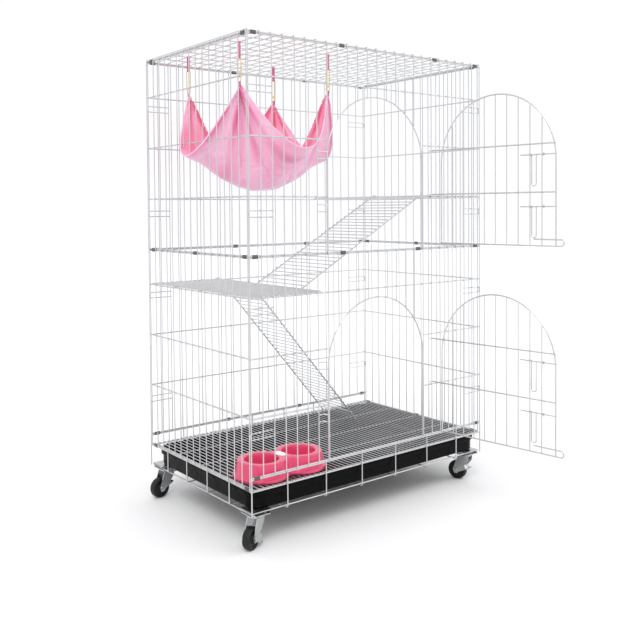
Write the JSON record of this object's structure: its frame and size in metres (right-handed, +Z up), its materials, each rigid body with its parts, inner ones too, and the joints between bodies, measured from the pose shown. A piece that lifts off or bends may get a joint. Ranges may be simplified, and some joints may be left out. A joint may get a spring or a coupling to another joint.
{
  "type": "rabbit cage",
  "caption": "Tall two-storey wire rabbit cage on casters, with arched doors, wire platforms and ramps, a slide-out tray, a hanging hammock and a double feeding bowl.",
  "frame": {"origin": "on the floor, under the middle of the cage's footprint", "axes": "+Z up, +X along the long side towards the side that the tray slides out of, and -Y towards the front with the doors"},
  "size_m": [0.7631, 0.8496, 1.1233],
  "materials": {
    "wire": "bright zinc plating",
    "tray_plastic": "gloss black moulded plastic",
    "bowl_plastic": "gloss crimson pink plastic",
    "inlay_plastic": "plain white",
    "hammock_cloth": "pink satin with padding",
    "strap_webbing": "woven pink webbing",
    "ring_brass": "polished",
    "clip_steel": "dark pressed steel",
    "wheel_rubber": "satin black",
    "zinc_steel": "zinc-plated pressed steel"
  },
  "bodies": {
    "cage": {"base_clips": "clip_steel", "base_frame": "wire", "caster_clamp_plates": "zinc_steel", "caster_screws": "zinc_steel", "floor_grid": "wire", "front_left_caster_plate": "zinc_steel", "front_right_caster_plate": "zinc_steel", "hammock_clasps": "ring_brass", "hammock_cloth": "hammock_cloth", "hammock_rings": "ring_brass", "hammock_straps": "strap_webbing", "lower_back_wall": "wire", "lower_front_wall": "wire", "lower_left_wall": "wire", "lower_platform": "wire", "lower_right_wall": "wire", "middle_clips": "clip_steel", "rear_left_caster_plate": "zinc_steel", "rear_right_caster_plate": "zinc_steel", "roof_clips": "clip_steel", "roof_panel": "wire", "upper_back_wall": "wire", "upper_front_wall": "wire", "upper_left_wall": "wire", "upper_platform": "wire", "upper_right_wall": "wire"},
    "lower_door": {"lower_door": "wire"},
    "upper_door": {"upper_door": "wire"},
    "lower_door_top_bolt": {"lower_door_top_bolt": "wire"},
    "lower_door_bottom_bolt": {"lower_door_bottom_bolt": "wire"},
    "upper_door_top_bolt": {"upper_door_top_bolt": "wire"},
    "upper_door_bottom_bolt": {"upper_door_bottom_bolt": "wire"},
    "tray": {"tray": "tray_plastic"},
    "bowl": {"feeding_bowl": "bowl_plastic", "bowl_inlay": "inlay_plastic"},
    "lower_ramp": {"lower_ramp": "wire"},
    "upper_ramp": {"upper_ramp": "wire"},
    "front_left_fork": {"front_left_caster_fork": "zinc_steel", "front_left_caster_axle": "zinc_steel"},
    "front_left_wheel": {"front_left_caster_wheel": "wheel_rubber"},
    "front_left_brake": {"front_left_brake_lever": "zinc_steel"},
    "front_right_fork": {"front_right_caster_fork": "zinc_steel", "front_right_caster_axle": "zinc_steel"},
    "front_right_wheel": {"front_right_caster_wheel": "wheel_rubber"},
    "front_right_brake": {"front_right_brake_lever": "zinc_steel"},
    "rear_left_fork": {"rear_left_caster_fork": "zinc_steel", "rear_left_caster_axle": "zinc_steel"},
    "rear_left_wheel": {"rear_left_caster_wheel": "wheel_rubber"},
    "rear_left_brake": {"rear_left_brake_lever": "zinc_steel"},
    "rear_right_fork": {"rear_right_caster_fork": "zinc_steel", "rear_right_caster_axle": "zinc_steel"},
    "rear_right_wheel": {"rear_right_caster_wheel": "wheel_rubber"},
    "rear_right_brake": {"rear_right_brake_lever": "zinc_steel"}
  },
  "joints": [
    {"name": "lower_door_hinge", "type": "hinge", "parent": "cage", "child": "lower_door", "pos_m": [0.185, -0.235, 0.3497], "axis": [0, 0, 1], "range_deg": [-97, 55]},
    {"name": "lower_door_top_bolt_slide", "type": "slide", "parent": "lower_door", "child": "lower_door_top_bolt", "axis": [0.1219, -0.9925, 0], "range_m": [0, 0.0175]},
    {"name": "lower_door_bottom_bolt_slide", "type": "slide", "parent": "lower_door", "child": "lower_door_bottom_bolt", "axis": [0.1219, -0.9925, 0], "range_m": [0, 0.0175]},
    {"name": "upper_door_hinge", "type": "hinge", "parent": "cage", "child": "upper_door", "pos_m": [0.185, -0.235, 0.8293], "axis": [0, 0, 1], "range_deg": [-97, 55]},
    {"name": "upper_door_top_bolt_slide", "type": "slide", "parent": "upper_door", "child": "upper_door_top_bolt", "axis": [0.1219, -0.9925, 0], "range_m": [0, 0.0175]},
    {"name": "upper_door_bottom_bolt_slide", "type": "slide", "parent": "upper_door", "child": "upper_door_bottom_bolt", "axis": [0.1219, -0.9925, 0], "range_m": [0, 0.0175]},
    {"name": "tray_slide", "type": "slide", "parent": "cage", "child": "tray", "axis": [1, 0, 0], "range_m": [0, 0.6]},
    {"name": "bowl_lift", "type": "slide", "parent": "cage", "child": "bowl", "axis": [0, 0, 1], "range_m": [0, 0.25]},
    {"name": "lower_ramp_hinge", "type": "hinge", "parent": "cage", "child": "lower_ramp", "pos_m": [-0.174, 0.143, 0.5512], "axis": [0, -1, 0], "range_deg": [0, 30]},
    {"name": "upper_ramp_hinge", "type": "hinge", "parent": "cage", "child": "upper_ramp", "pos_m": [0.174, -0.122, 0.7708], "axis": [0, 1, 0], "range_deg": [0, 25]},
    {"name": "front_left_swivel", "type": "hinge", "parent": "cage", "child": "front_left_fork", "pos_m": [-0.342, -0.207, 0.0671], "axis": [0, 0, 1], "continuous": true},
    {"name": "front_left_wheel_spin", "type": "hinge", "parent": "front_left_fork", "child": "front_left_wheel", "pos_m": [-0.36177, -0.21664, 0.025], "axis": [0.4384, -0.8988, 0], "continuous": true},
    {"name": "front_left_brake_turn", "type": "hinge", "parent": "front_left_fork", "child": "front_left_brake", "pos_m": [-0.36177, -0.21664, 0.025], "axis": [0.4384, -0.8988, 0], "range_deg": [0, 44]},
    {"name": "front_right_swivel", "type": "hinge", "parent": "cage", "child": "front_right_fork", "pos_m": [0.342, -0.207, 0.0671], "axis": [0, 0, 1], "continuous": true},
    {"name": "front_right_wheel_spin", "type": "hinge", "parent": "front_right_fork", "child": "front_right_wheel", "pos_m": [0.33631, -0.18575, 0.025], "axis": [-0.9659, -0.2588, 0], "continuous": true},
    {"name": "front_right_brake_turn", "type": "hinge", "parent": "front_right_fork", "child": "front_right_brake", "pos_m": [0.33631, -0.18575, 0.025], "axis": [-0.9659, -0.2588, 0], "range_deg": [-44, 0]},
    {"name": "rear_left_swivel", "type": "hinge", "parent": "cage", "child": "rear_left_fork", "pos_m": [-0.342, 0.207, 0.0671], "axis": [0, 0, 1], "continuous": true},
    {"name": "rear_left_wheel_spin", "type": "hinge", "parent": "rear_left_fork", "child": "rear_left_wheel", "pos_m": [-0.36373, 0.20356, 0.025], "axis": [0.1564, -0.9877, 0], "continuous": true},
    {"name": "rear_left_brake_turn", "type": "hinge", "parent": "rear_left_fork", "child": "rear_left_brake", "pos_m": [-0.36373, 0.20356, 0.025], "axis": [0.1564, -0.9877, 0], "range_deg": [-44, 0]},
    {"name": "rear_right_swivel", "type": "hinge", "parent": "cage", "child": "rear_right_fork", "pos_m": [0.342, 0.207, 0.0671], "axis": [0, 0, 1], "continuous": true},
    {"name": "rear_right_wheel_spin", "type": "hinge", "parent": "rear_right_fork", "child": "rear_right_wheel", "pos_m": [0.35233, 0.22642, 0.025], "axis": [-0.8829, 0.4695, 0], "continuous": true},
    {"name": "rear_right_brake_turn", "type": "hinge", "parent": "rear_right_fork", "child": "rear_right_brake", "pos_m": [0.35233, 0.22642, 0.025], "axis": [-0.8829, 0.4695, 0], "range_deg": [-44, 0]}
  ]
}
